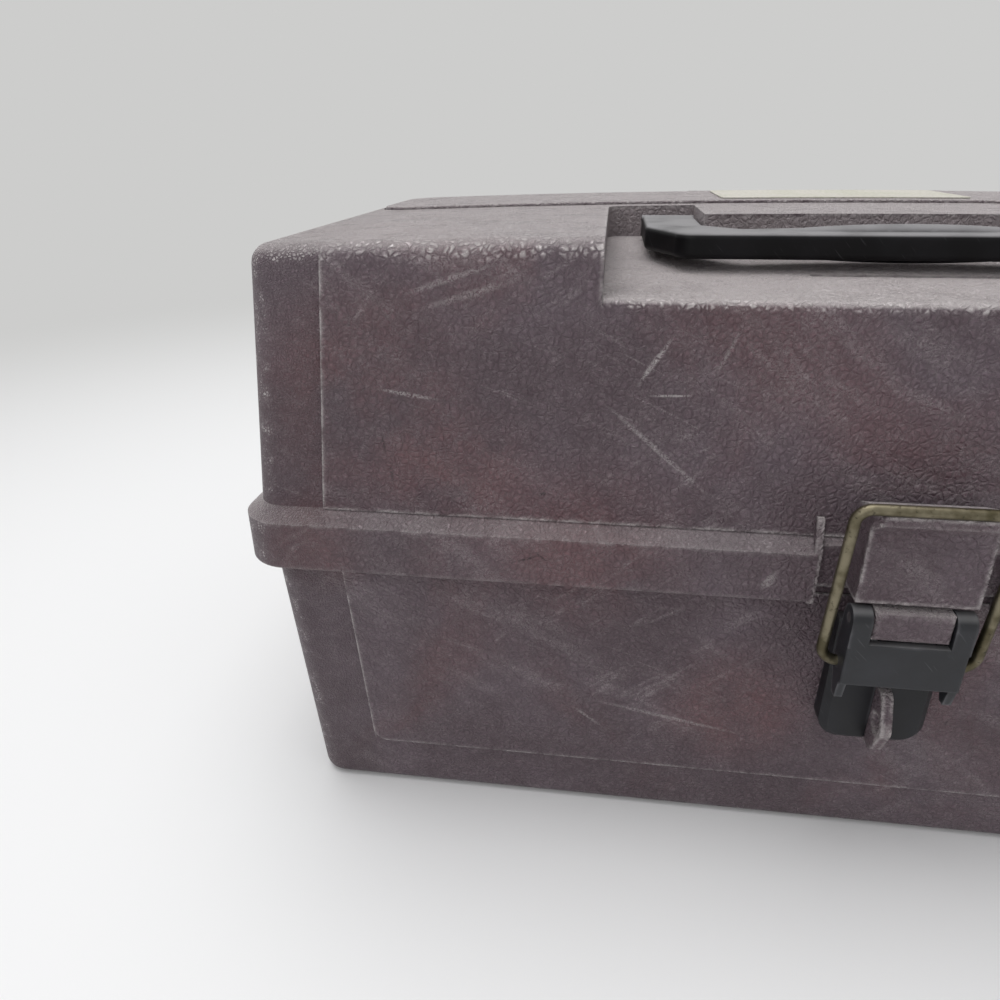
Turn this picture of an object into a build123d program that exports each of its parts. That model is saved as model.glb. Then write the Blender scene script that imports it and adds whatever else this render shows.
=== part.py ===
from build123d import *
import os
from math import atan2, cos, degrees, hypot, radians, sin, sqrt, tan

# Tackle box: a moulded case with a drafted lid, a bail latch, a folding handle, a top compartment
# and two cantilever trays that the lid carries up and back.
# Millimetres. X runs to the right, Y to the rear, Z up. The origin is on the floor under the case's middle.

# Case, measured outside at the lid's foot
case_width = 391.0
case_depth = 195.0
wall = 3.0
overrun = 10.0

# Base
base_height = 98.0
base_draft = 3.2
base_corner_radius = 9.0
base_foot_radius = 5.0
rim_rise = 14.0
rim_setback = 0.7
base_panel_rise = 0.6
base_panel_margin = 26.0
base_panel_foot = 21.0
panel_corner_radius = 5.0

# Band round the lid's foot
band_height = 16.0
band_overhang = 5.3
ledge_rise = 4.0
ledge_bury = 1.5
band_edge_radius = 1.2
skirt_clearance = 1.2
shoulder_clearance = 0.4

# Lid
lid_wall_height = 77.0
lid_draft = 4.0
lid_corner_radius = 9.0
lid_edge_radius = 6.0
lid_inner_edge_radius = 3.0
crown_rise = 3.5
lid_panel_rise = 0.8
lid_panel_margin = 23.0

# Lid hinge
hinge_place = 115.0
knuckle_length = 24.0
knuckle_gap = 0.3
knuckle_radius = 4.0
knuckle_clearance = 0.4
knuckle_web = 8.0
hinge_pin_radius = 1.6

# Fits
running_clearance = 0.08
seat_clearance = 0.02
free_clearance = 0.4

# Handle recess in the lid's top
recess_side_room = 12.3
recess_depth = 16.0
recess_slope = 2.4
recess_corner_radius = 5.0
recess_lip_radius = 3.0
ledge_depth = 40.0
recess_to_cover = 9.0
groove_half_length = 29.6
groove_width = 3.0
groove_depth = 0.8

# Handle
handle_half_length = 77.5
handle_corner_taper = 10.0
handle_arm_width = 18.7
handle_reach = 62.0
handle_shoulder = 40.0
handle_thickness = 7.4
handle_floor_gap = 5.5
handle_side_gap = 0.8
handle_pivot_setback = 10.0
handle_corner_radius = 6.0
handle_edge_radius = 1.6
grip_turn = 10.8
grip_end_depth = 15.0
grip_mid_depth = 22.0
grip_swell = 1.9
grip_swell_bury = 1.0
handle_pin_radius = 1.9
pin_head_radius = 3.2
pin_head_height = 1.6

# Top compartment and its cover
cover_depth = 59.0
cover_end_inset = 7.0
cover_corner_radius = 12.0
cover_proud = 1.1
cover_sunk = 1.2
cover_seat_gap = 0.3
cover_side_gap = 0.9
cover_edge_radius = 0.8
tub_margin = 7.0
tub_end_inset = 30.0
tub_depth = 20.0
tub_wall = 2.4
tub_corner_radius = 4.0
cover_axis_inset = 8.0
cover_axis_drop = 1.0
cover_knuckle_radius = 1.8
cover_knuckle_length = 20.0
cover_knuckle_place = 36.0
cover_ear_length = 8.0
cover_pin_radius = 0.9
cover_hinge_bed = 6.0
label_half_width = 46.0
label_margin = 6.0
label_thickness = 0.4
label_glue_gap = 0.1
label_corner_radius = 3.0

# Latch, on the middle of the front
bay_half_width = 24.8
bay_band_overhang = 2.6
bay_bottom_rise = 4.5
fin_thickness = 2.0
fin_rise = 6.0
fin_slope = 3.5
fin_root = 2.0
pivot_out = 11.0
lever_knuckle_radius = 4.0
lever_knuckle_front = 3.5
lever_knuckle_drop = 5.2
lever_knuckle_edge = 1.2
lever_knuckle_half = 10.5
lever_half_width = 16.3
lever_plate_thickness = 2.6
lever_front_out = 15.0
lever_drop = 21.0
lever_cheek_drop = 27.0
lever_cheek_thickness = 2.4
lever_column_drop = 8.0
lever_notch_drop = 6.4
lever_side_gap = 0.4
lever_edge_radius = 1.0
lever_pin_radius = 1.5
cheek_back_in = 4.3
cheek_foot_in = 1.0
bail_hole_in = 2.4
bail_hole_drop = 16.6
bail_hole_margin = 3.2
wire_radius = 1.6
bail_half_span = 21.2
bail_bend_radius = 4.2
bail_seat_gap = 0.1
bail_face_gap = 0.3
catch_half_width = 16.2
catch_bottom = 6.0
catch_lip_top = 33.7
catch_lip_height = 2.8
catch_lip_proud = 2.4
catch_out = 12.6
catch_crest = 0.6
catch_back_drop = 6.0
catch_bevel = 2.2
plate_half_width = 15.6
plate_out = 4.7
plate_drop = 50.0
plate_top_gap = 6.0
plate_corner_radius = 7.0
plate_bevel = 2.2
latch_rivet_radius = 1.8
latch_rivet_head_radius = 3.2
latch_rivet_head = 1.0
latch_rivet_place = 8.0
latch_rivet_drop = 12.0
lug_thickness = 3.2
lug_drop = 49.0
lug_height = 22.0
lug_reach = 10.0
lug_round = 4.0
lug_hole_radius = 3.2
lug_hole_in = 5.0
lug_slot_clearance = 0.15

# Cantilever trays and their arms
arm_rise = 39.0
arm_reach = 87.0
arm_pivot_drop = 13.0
arm_width = 10.0
arm_thickness = 2.0
arm_wall_gap = 0.4
arm_tray_gap = 2.0
arm_boss_radius = 6.0
arm_rivet_radius = 2.0
arm_rivet_head_radius = 4.0
arm_rivet_head = 1.2
arm_boss_length = 4.4
tray_wall = 1.8
tray_corner_radius = 4.0
tray_front_gap = 12.0
tray_height = 30.0
upper_pivot_in = 14.0
upper_pivot_below_top = 10.0
upper_tray_overhang = 10.0
lower_pivot_below_top = 7.5
lower_front_gap = 8.0
lower_pivot_spacing = 36.0
lower_tray_overhang = 8.0
lid_pin_clearance = 0.35
lid_boss_gap = 1.4
divider_thickness = 1.4
divider_drop = 3.0
groove_depth = 0.6
groove_clearance = 0.15
upper_row_share = 0.52
lower_row_share = 0.45
upper_front_divider_shares = (-0.6, -0.2, 0.2, 0.6)
upper_rear_divider_shares = (-0.34, 0.34)
lower_front_divider_shares = (-0.5, 0, 0.5)
lower_rear_divider_shares = (0,)

# Levels and places worked out from the sizes above
rim_top = base_height + rim_rise
rim_width = case_width - 2 * rim_setback
rim_depth = case_depth - 2 * rim_setback
band_bottom = base_height
band_top = base_height + band_height
lid_foot = band_top + ledge_rise
lid_top = lid_foot + lid_wall_height
shoulder = rim_top + shoulder_clearance
top_inset = lid_wall_height * tan(radians(lid_draft))
top_half_width = case_width / 2 - top_inset
top_half_depth = case_depth / 2 - top_inset
crown_top = lid_top + crown_rise
crown_radius = (top_half_width ** 2 + crown_rise ** 2) / (2 * crown_rise)
front = -case_depth / 2
band_front = front - band_overhang
band_rear = case_depth / 2 + band_overhang
hinge_y = band_rear + knuckle_radius + knuckle_clearance
hinge_z = band_bottom
cover_axis_y = top_half_depth - cover_axis_inset
cover_axis_z = crown_top - cover_axis_drop
cover_rear = cover_axis_y - cover_knuckle_radius - cover_side_gap
cover_front = cover_rear - cover_depth
cover_half_width = top_half_width - cover_end_inset
recess_rear = cover_front - recess_to_cover
recess_floor = crown_top - recess_depth
ledge_front = recess_rear - ledge_depth
recess_lean = radians(lid_draft)
recess_edge_y = front + (recess_floor - lid_foot) * tan(recess_lean) - lid_panel_rise
recess_lip_y = recess_edge_y + recess_lip_radius * (1 / cos(recess_lean) - tan(recess_lean))
handle_y = recess_rear - handle_pivot_setback
handle_z = recess_floor + handle_floor_gap + handle_thickness / 2
arm_inner = handle_half_length - handle_arm_width
handle_front_half = handle_half_length - handle_corner_taper
grip_end_half = arm_inner - grip_turn
ledge_half_width = arm_inner - handle_side_gap
recess_half_width = handle_half_length + recess_side_room
pivot_y = front - pivot_out
pivot_z = band_bottom
catch_face = front - catch_out
catch_seat = band_bottom + catch_lip_top
bail_bar_y = catch_face - bail_face_gap - wire_radius
bail_bar_z = catch_seat + bail_seat_gap + wire_radius
bail_hole_y = pivot_y + bail_hole_in
bail_hole_z = pivot_z - bail_hole_drop
plate_front = front - plate_out
plate_bottom = pivot_z - plate_drop
lug_bottom = pivot_z - lug_drop
lever_front = front - lever_front_out
lid_pivot_y = hinge_y - arm_reach
lid_pivot_z = hinge_z + arm_rise
upper_front = front + tray_front_gap
upper_rear = lid_pivot_y + upper_tray_overhang
upper_top = lid_pivot_z + upper_pivot_below_top
upper_pivot_y = upper_front + upper_pivot_in
arm_base_y = upper_pivot_y + arm_reach
arm_base_z = hinge_z - arm_pivot_drop
arm_base_lean = (rim_top - arm_base_z) * tan(radians(base_draft))
arm_plane = rim_width / 2 - arm_base_lean - wall - arm_boss_length - arm_wall_gap
arm_inside = arm_plane - arm_thickness
tray_half_length = arm_inside - arm_tray_gap
upper_pivot_z = arm_base_z + arm_rise
lower_pivot_y = arm_base_y - arm_reach / 2
lower_pivot_z = arm_base_z + arm_rise / 2
lower_rear_pivot_y = lower_pivot_y + lower_pivot_spacing
rear_arm_base_y = arm_base_y + lower_pivot_spacing
lower_top = lower_pivot_z + lower_pivot_below_top
lower_front = front + wall + rim_setback + lower_front_gap
lower_rear = lower_rear_pivot_y + lower_tray_overhang
top_reach = crown_top + cover_proud + overrun


def block(x_span, y_span, z_span):
    corner = Pos(x_span[0], y_span[0], z_span[0])
    size = (x_span[1] - x_span[0], y_span[1] - y_span[0], z_span[1] - z_span[0])
    return corner * Box(*size, align=(Align.MIN, Align.MIN, Align.MIN))


def middle_block(half_width, y_span, z_span):
    return block((-half_width, half_width), y_span, z_span)


def rod(radius, x_span, y, z):
    length = x_span[1] - x_span[0]
    upright = Cylinder(radius, length, align=(Align.CENTER, Align.CENTER, Align.MIN))
    return Pos(x_span[0], y, z) * Rot(0, 90, 0) * upright


def side_profile(points, x_span):
    # An outline in Y and Z, run along X
    outline = Plane.YZ * Polygon(*points, align=None)
    return Pos(x_span[0], 0, 0) * extrude(outline, amount=x_span[1] - x_span[0], dir=(1, 0, 0))


def front_profile(points, y_span):
    # An outline in X and Z, run along Y
    outline = Plane.XZ * Polygon(*points, align=None)
    return Pos(0, y_span[0], 0) * extrude(outline, amount=y_span[1] - y_span[0], dir=(0, 1, 0))


def mirrored(shape):
    return mirror(shape, about=Plane.YZ)


def both_sides(shape):
    return shape + mirrored(shape)


def plan_prism(x_span, y_span, radius, z_span):
    outline = RectangleRounded(x_span[1] - x_span[0], y_span[1] - y_span[0], radius)
    centre = Pos((x_span[0] + x_span[1]) / 2, (y_span[0] + y_span[1]) / 2, z_span[0])
    return centre * extrude(outline, amount=z_span[1] - z_span[0])


def crown(lift):
    # Everything under the crowned top, raised by lift
    radius = crown_radius + lift
    drum = Cylinder(radius, 2 * case_depth)
    return Pos(0, 0, crown_top - crown_radius) * Rot(90, 0, 0) * drum


def drafted_block(half_width, half_depth, slope, level, radius, z_span):
    # Flat walls that lean in by slope for each unit above the level where the halves are measured
    out = [(level - z) * slope for z in z_span]
    low, high = z_span
    wide = [half_width + out[0], half_width + out[1]]
    deep = [half_depth + out[0], half_depth + out[1]]
    across = [(-wide[0], low), (wide[0], low), (wide[1], high), (-wide[1], high)]
    along = [(-deep[0], low), (deep[0], low), (deep[1], high), (-deep[1], high)]
    solid = front_profile(across, (-case_depth, case_depth))
    solid &= side_profile(along, (-case_width, case_width))
    uprights = solid.edges() - solid.edges().filter_by(Axis.X) - solid.edges().filter_by(Axis.Y)
    return fillet(uprights, radius)


def base_form(z_span, inset):
    halves = (rim_width / 2 - inset, rim_depth / 2 - inset)
    return drafted_block(*halves, -tan(radians(base_draft)), rim_top, base_corner_radius - inset, z_span)


def lid_form(z_span, inset):
    halves = (case_width / 2 - inset, case_depth / 2 - inset)
    return drafted_block(*halves, tan(radians(lid_draft)), lid_foot, lid_corner_radius - inset, z_span)


def front_and_rear_panels(solid, region, rise):
    shifted = [Pos(0, side * rise, 0) * solid for side in (-1, 1)]
    return (shifted[0] & region) + (shifted[1] & region)


def make_base_block():
    # The base's outer form, solid, with the panels of its front and rear
    solid = base_form((0, rim_top), 0)
    foot = solid.faces().sort_by(Axis.Z)[0].edges()
    solid = fillet(foot, base_foot_radius)
    lean = (band_bottom - base_panel_foot) * tan(radians(base_draft))
    edge = case_width / 2 - base_panel_margin
    corners = [(-edge, band_bottom), (-edge + lean, base_panel_foot), (edge - lean, base_panel_foot)]
    region = front_profile(corners + [(edge, band_bottom)], (-case_depth, case_depth))
    lower_edges = region.edges().filter_by(Axis.Y).sort_by(Axis.Z)[:2]
    region = fillet(lower_edges, panel_corner_radius)
    return solid + front_and_rear_panels(solid, region, base_panel_rise)


def make_base_shell(solid):
    shell = solid - base_form((wall, rim_top + overrun), wall)
    shell += make_hinge_webs(inner=False)
    shell += make_lever_knuckle()
    shell += make_arm_bosses()
    shell -= hinge_bores(seat_clearance)
    shell -= rod(lever_pin_radius + seat_clearance, (-lever_half_width, lever_half_width), pivot_y, pivot_z)
    shell -= arm_base_pins(arm_rivet_radius + seat_clearance, arm_inside)
    return shell - latch_rivet_shanks(latch_rivet_radius + seat_clearance)


def hinge_spans(inner):
    half = knuckle_length / 2
    if inner:
        return [(hinge_place - half, hinge_place + half)]
    low = hinge_place - half - knuckle_gap
    high = hinge_place + half + knuckle_gap
    return [(low - half, low), (high, high + half)]


def make_hinge_webs(inner):
    # The lid's knuckles stand on its band; the base's hang under it on a gusset
    seat = band_rear - band_overhang / 2
    foot = case_depth / 2 - wall
    under = band_bottom - knuckle_clearance
    webs = []
    for span in hinge_spans(inner):
        webs.append(rod(knuckle_radius, span, hinge_y, hinge_z))
        if inner:
            webs.append(block(span, (seat, hinge_y), (hinge_z, hinge_z + knuckle_web)))
        else:
            low = under - knuckle_radius
            gusset = [(foot, low - knuckle_web), (hinge_y, low), (hinge_y, under), (foot, under)]
            webs.append(side_profile(gusset, span))
    return both_sides(Part() + webs)


def hinge_bores(clearance):
    span = hinge_spans(False)
    return both_sides(rod(hinge_pin_radius + clearance, (span[0][0], span[1][1]), hinge_y, hinge_z))


def make_lever_knuckle():
    z_span = (pivot_z - lever_knuckle_drop, pivot_z + lever_knuckle_radius)
    knuckle = middle_block(lever_knuckle_half, (pivot_y - lever_knuckle_front, front + wall), z_span)
    return fillet(knuckle.faces().sort_by(Axis.Y)[0].edges(), lever_knuckle_edge)


def arm_base_places():
    return [(arm_base_y, arm_base_z), (rear_arm_base_y, arm_base_z)]


def make_arm_bosses():
    span = (arm_plane + arm_wall_gap, rim_width / 2 - arm_base_lean - wall / 2)
    bosses = [rod(arm_boss_radius, span, y, z) for y, z in arm_base_places()]
    return both_sides(Part() + bosses)


def arm_base_pins(radius, inside):
    end = rim_width / 2 - arm_base_lean - wall
    pins = [rod(radius, (inside, end), y, z) for y, z in arm_base_places()]
    return both_sides(Part() + pins)


def make_arm_base_rivets():
    head = (arm_inside - arm_rivet_head, arm_inside)
    heads = [rod(arm_rivet_head_radius, head, y, z) for y, z in arm_base_places()]
    return arm_base_pins(arm_rivet_radius, arm_inside) + both_sides(Part() + heads)


def make_hinge_pins():
    return hinge_bores(0)


def make_lid_block():
    solid = lid_form((band_bottom + band_height / 2, crown_top + overrun), 0) & crown(0)
    top_edges = solid.faces().sort_by(Axis.Z)[-1].edges()
    return fillet(top_edges, lid_edge_radius)


def make_band():
    # The band, its sloping ledge, and the skirt's room inside it
    def outline(out):
        return RectangleRounded(case_width + 2 * out, case_depth + 2 * out, lid_corner_radius + out)

    band = Pos(0, 0, band_bottom) * extrude(outline(band_overhang), amount=band_height)
    band = fillet(band.faces().sort_by(Axis.Z)[0].edges(), band_edge_radius)
    buried = lid_foot + ledge_bury * ledge_rise / band_overhang
    foot = Pos(0, 0, band_top) * outline(band_overhang)
    ledge = loft([foot, Pos(0, 0, buried) * outline(-ledge_bury)], ruled=True)
    ahead = band_front - overrun
    under = band_bottom - overrun
    bay = middle_block(bay_half_width, (ahead, front - bay_band_overhang), (under, lid_foot))
    bay += middle_block(bay_half_width, (ahead, front + wall), (under, band_bottom + bay_bottom_rise))
    return band + ledge - bay


def make_skirt_room():
    grow = 2 * skirt_clearance
    outline = RectangleRounded(rim_width + grow, rim_depth + grow, base_corner_radius + skirt_clearance)
    return Pos(0, 0, band_bottom - overrun) * extrude(outline, amount=shoulder - band_bottom + overrun)


def make_fins():
    top = lid_foot + fin_rise
    root = front + fin_root
    side = [(root, band_bottom), (band_front, band_bottom), (band_front, band_top)]
    side += [(band_front + fin_slope, top), (root, top)]
    return both_sides(side_profile(side, (bay_half_width, bay_half_width + fin_thickness)))


def make_catch():
    bottom = band_bottom + catch_bottom
    lip_front = catch_face - catch_lip_proud
    lip_low = catch_seat - catch_lip_height
    crest = bail_bar_z + catch_crest
    back = front + wall
    side = [(back, bottom), (catch_face, bottom), (catch_face, lip_low - catch_lip_proud)]
    side += [(lip_front, lip_low), (lip_front, catch_seat), (catch_face, catch_seat)]
    side += [(catch_face, crest), (back, crest - catch_back_drop)]
    catch = side_profile(side, (-catch_half_width, catch_half_width))
    bevelled = catch.edges().filter_by(Axis.Z).group_by(Axis.Y)[0]
    catch = chamfer(bevelled, catch_bevel)
    return catch


def recess_room(grow):
    # The floor is level at the lip and climbs towards the rear
    rear = recess_rear + grow
    low = recess_floor - grow
    climb = (rear - recess_lip_y) * tan(radians(recess_slope))
    side = [(front - overrun, low), (recess_lip_y, low), (rear, low + climb), (rear, top_reach)]
    side += [(front - overrun, top_reach)]
    ends = recess_half_width + grow
    room = side_profile(side, (-ends, ends))
    rear_corners = room.edges().filter_by(Axis.Z).group_by(Axis.Y)[-1]
    room = fillet(rear_corners, recess_corner_radius + grow)
    ledge_rear = recess_rear + 2 * grow + overrun
    return room - middle_block(ledge_half_width - grow, (ledge_front + grow, ledge_rear), (low, top_reach))


def recess_groove():
    # A shallow moulded slot across the recess's floor, under the grip's front edge
    grip_front = handle_y - handle_reach
    floor = recess_floor + (grip_front - recess_lip_y) * tan(radians(recess_slope))
    x_span = (-groove_half_length, groove_half_length)
    y_span = (grip_front - groove_width / 2, grip_front + groove_width / 2)
    return plan_prism(x_span, y_span, groove_width / 3, (floor - groove_depth, handle_z))


def recess_lip():
    # What is cut away to round the edge between the recess's floor and the lid's front
    lean = recess_lean
    middle_y = recess_lip_y
    middle_z = recess_floor - recess_lip_radius
    start = (middle_y - recess_lip_radius * cos(lean), middle_z + recess_lip_radius * sin(lean))
    half_turn = radians(45) - lean / 2
    reach = (recess_lip_radius * sin(half_turn), recess_lip_radius * cos(half_turn))
    through = (middle_y - reach[0], middle_z + reach[1])
    round_edge = ThreePointArc(start, through, (middle_y, recess_floor))
    outside = Polyline((middle_y, recess_floor), (middle_y, top_reach), (front - overrun, top_reach),
                       (front - overrun, start[1]), start)
    outline = Plane.YZ * make_face(round_edge + outside)
    cut = extrude(outline, amount=2 * recess_half_width, dir=(1, 0, 0))
    return Pos(-recess_half_width, 0, 0) * cut


def tub_room(grow):
    ends = top_half_width - tub_end_inset + grow
    y_span = (cover_front + tub_margin - grow, cover_rear - tub_margin + grow)
    z_span = (crown_top - tub_depth - grow, top_reach)
    return plan_prism((-ends, ends), y_span, tub_corner_radius + grow, z_span)


def make_lid_room():
    room = lid_form((shoulder - overrun, crown_top + overrun), wall) & crown(-wall)
    top_edges = room.faces().sort_by(Axis.Z)[-1].edges()
    room = fillet(top_edges, lid_inner_edge_radius)
    return room - recess_room(wall) - tub_room(tub_wall)


def make_lid_panels(solid):
    lean = top_inset
    edge = case_width / 2 - lid_panel_margin
    corners = [(-edge, lid_foot), (edge, lid_foot), (edge - lean, lid_top), (edge - lean, top_reach)]
    corners += [(-edge + lean, top_reach), (-edge + lean, lid_top)]
    region = front_profile(corners, (-case_depth, case_depth))
    return front_and_rear_panels(solid, region, lid_panel_rise)


def make_lid_pivot_bosses():
    lean = (lid_pivot_z - lid_foot) * tan(radians(lid_draft))
    root = case_width / 2 - lean - wall / 2
    span = (tray_half_length + lid_boss_gap, root)
    return both_sides(rod(arm_boss_radius, span, lid_pivot_y, lid_pivot_z))


def make_lid_shell():
    solid = make_lid_block()
    shell = solid + make_lid_panels(solid) + make_band()
    shell += make_fins() + make_catch()
    shell -= make_skirt_room()
    shell -= make_lid_room()
    shell -= recess_room(0)
    shell -= recess_lip()
    shell -= recess_groove()
    shell -= tub_room(0)
    shell -= cover_plan(cover_side_gap) - crown(-cover_sunk)
    shell += make_cover_bed()
    shell -= cover_trough()
    shell += make_hinge_webs(inner=True)
    shell += make_cover_ears()
    shell += make_lid_pivot_bosses()
    shell -= hinge_bores(running_clearance)
    shell -= handle_pin_shanks(seat_clearance)
    shell -= cover_pins(seat_clearance)
    return shell - lid_pins(arm_rivet_radius + seat_clearance)


def cover_plan(grow):
    ends = cover_half_width + grow
    y_span = (cover_front - grow, cover_rear + grow)
    z_span = (recess_floor, top_reach)
    return plan_prism((-ends, ends), y_span, cover_corner_radius + grow, z_span)


def cover_barrel_span():
    half = cover_knuckle_length / 2
    return (cover_knuckle_place - half, cover_knuckle_place + half)


def cover_trough():
    low, high = cover_barrel_span()
    span = (low - knuckle_gap, high + knuckle_gap)
    radius = cover_knuckle_radius + free_clearance
    room = rod(radius, span, cover_axis_y, cover_axis_z)
    room += block(span, (cover_axis_y - radius, cover_axis_y + radius), (cover_axis_z, top_reach))
    room += block(span, (cover_rear, cover_axis_y), (crown_top - cover_sunk, top_reach))
    return both_sides(room)


def make_cover_bed():
    # Thickening under the lid's top that holds the cover's hinge
    low, high = cover_barrel_span()
    span = (low - 2 * cover_ear_length, high + 2 * cover_ear_length)
    y_span = (cover_rear - cover_side_gap, cover_axis_y + cover_knuckle_radius + wall / 2)
    return both_sides(block(span, y_span, (crown_top - cover_hinge_bed, crown_top - wall / 2)))


def make_cover_ears():
    low, high = cover_barrel_span()
    low -= knuckle_gap
    high += knuckle_gap
    ears = []
    for span in ((low - cover_ear_length, low), (high, high + cover_ear_length)):
        ears.append(rod(cover_knuckle_radius, span, cover_axis_y, cover_axis_z))
    return both_sides(Part() + ears)


def cover_pins(clearance):
    low, high = cover_barrel_span()
    span = (low - knuckle_gap - cover_ear_length, high + knuckle_gap + cover_ear_length)
    return both_sides(rod(cover_pin_radius + clearance, span, cover_axis_y, cover_axis_z))


def make_top_cover():
    plate = cover_plan(0) & crown(cover_proud)
    rim_edges = plate.faces().sort_by(Axis.Z)[-1].edges()
    plate = fillet(rim_edges, cover_edge_radius)
    plate -= crown(cover_seat_gap - cover_sunk)
    span = cover_barrel_span()
    web_low = crown_top - cover_sunk + cover_seat_gap
    web = block(span, (cover_rear - cover_knuckle_radius, cover_axis_y), (web_low, crown_top))
    barrel = rod(cover_knuckle_radius, span, cover_axis_y, cover_axis_z)
    plate += both_sides(web + barrel)
    return plate - cover_pins(running_clearance)


def make_cover_label():
    y_span = (cover_front + label_margin, cover_rear - label_margin)
    z_span = (recess_floor, top_reach)
    plan = plan_prism((-label_half_width, label_half_width), y_span, label_corner_radius, z_span)
    under = cover_proud + label_glue_gap
    return (plan & crown(under + label_thickness)) - crown(under)


def handle_pin_shanks(clearance):
    inner = ledge_half_width - wall - pin_head_height
    return both_sides(rod(handle_pin_radius + clearance, (inner, handle_half_length), handle_y, handle_z))


def make_handle_pins():
    wall_face = ledge_half_width - wall
    head = rod(pin_head_radius, (wall_face - pin_head_height, wall_face), handle_y, handle_z)
    return handle_pin_shanks(0) + both_sides(head)


def make_handle():
    front_y = handle_y - handle_reach
    shoulder_y = handle_y - handle_shoulder
    grip_end_y = front_y + grip_end_depth
    grip_mid_y = front_y + grip_mid_depth
    outer = Polyline((-arm_inner, handle_y), (-handle_half_length, handle_y),
                     (-handle_half_length, shoulder_y), (-handle_front_half, front_y),
                     (handle_front_half, front_y), (handle_half_length, shoulder_y),
                     (handle_half_length, handle_y), (arm_inner, handle_y),
                     (arm_inner, grip_end_y + grip_turn), (grip_end_half, grip_end_y))
    grip = ThreePointArc((grip_end_half, grip_end_y), (0, grip_mid_y), (-grip_end_half, grip_end_y))
    left = Polyline((-grip_end_half, grip_end_y), (-arm_inner, grip_end_y + grip_turn),
                    (-arm_inner, handle_y))
    outline = make_face(outer + grip + left)
    bottom = handle_z - handle_thickness / 2
    body = Pos(0, 0, bottom) * extrude(outline, amount=handle_thickness)
    uprights = body.edges().filter_by(Axis.Z)
    corners = uprights.group_by(Axis.Y)[0] + uprights.filter_by_position(Axis.Y, shoulder_y, shoulder_y)
    body = fillet(corners, handle_corner_radius)
    faces = body.faces().filter_by(Plane.XY)
    ends = body.faces().filter_by(Plane.XZ).group_by(Axis.Y)[-1].edges()
    body = fillet(faces.edges() - ends, handle_edge_radius)
    body += both_sides(rod(handle_thickness / 2, (arm_inner, handle_half_length), handle_y, handle_z))
    body += make_grip_swell((front_y + grip_mid_y) / 2)
    return body - handle_pin_shanks(running_clearance)


def make_grip_swell(grip_y):
    # The barrel that fills the hand, thickest in the middle
    end = handle_thickness / 2 - grip_swell_bury
    middle = (0, handle_thickness / 2 + grip_swell)
    bulge = ThreePointArc((-grip_end_half, end), middle, (grip_end_half, end))
    rest = Polyline((grip_end_half, end), (grip_end_half, 0), (-grip_end_half, 0), (-grip_end_half, end))
    return Pos(0, grip_y, handle_z) * revolve(make_face(bulge + rest), axis=Axis.X)


def make_latch_plate(base_solid):
    top = pivot_z - plate_top_gap
    plate = middle_block(plate_half_width, (plate_front, front + 2 * wall), (plate_bottom, top))
    lower = plate.edges().filter_by(Axis.Y).group_by(Axis.Z)[0]
    plate = fillet(lower, plate_corner_radius)
    face = plate.faces().sort_by(Axis.Y)[0].edges()
    plate = chamfer(face - face.filter_by_position(Axis.Z, top, top), plate_bevel)
    plate -= base_solid
    plate -= lug_profile(lug_slot_clearance)
    return plate - latch_rivet_shanks(latch_rivet_radius + seat_clearance)


def latch_rivet_z():
    return pivot_z - latch_rivet_drop


def latch_rivet_shanks(radius):
    shank = Cylinder(radius, plate_out + 3 * wall, align=(Align.CENTER, Align.CENTER, Align.MIN))
    start = Pos(latch_rivet_place, plate_front, latch_rivet_z()) * Rot(-90, 0, 0)
    return both_sides(start * shank)


def base_inner_front(height):
    return -rim_depth / 2 + (rim_top - height) * tan(radians(base_draft)) + wall


def make_latch_rivets():
    from_foot = (Align.CENTER, Align.CENTER, Align.MIN)
    head = Cylinder(latch_rivet_head_radius, latch_rivet_head, align=from_foot)
    place = Pos(latch_rivet_place, plate_front, latch_rivet_z())
    inside_y = base_inner_front(latch_rivet_z() - latch_rivet_head_radius)
    inside = Pos(latch_rivet_place, inside_y, latch_rivet_z())
    shank_length = inside_y + latch_rivet_head - plate_front
    shank = Cylinder(latch_rivet_radius, shank_length, align=(Align.CENTER, Align.CENTER, Align.MIN))
    rivet = place * Rot(90, 0, 0) * head + place * Rot(-90, 0, 0) * shank + inside * Rot(-90, 0, 0) * head
    return both_sides(rivet)


def lug_profile(grow):
    # A leaf-shaped plate on the middle plane, its root in the latch plate's slot
    low = lug_bottom - grow
    high = lug_bottom + lug_height + grow
    tip = plate_front - lug_reach
    waist = plate_front - lug_reach / 2
    middle = (low + high) / 2
    root = front + 2 * wall
    points = [(root, low), (waist, low), (tip, middle), (waist, high), (root, high)]
    half = lug_thickness / 2 + grow
    leaf = side_profile(points, (-half, half))
    return fillet(leaf.edges().filter_by(Axis.X).filter_by_position(Axis.Y, tip, waist), lug_round)


def make_padlock_lug(base_solid):
    lug = lug_profile(0) - base_solid
    hole_y = plate_front - lug_reach + lug_hole_in
    hole = rod(lug_hole_radius, (-lug_thickness, lug_thickness), hole_y, lug_bottom + lug_height / 2)
    return lug - hole


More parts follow.
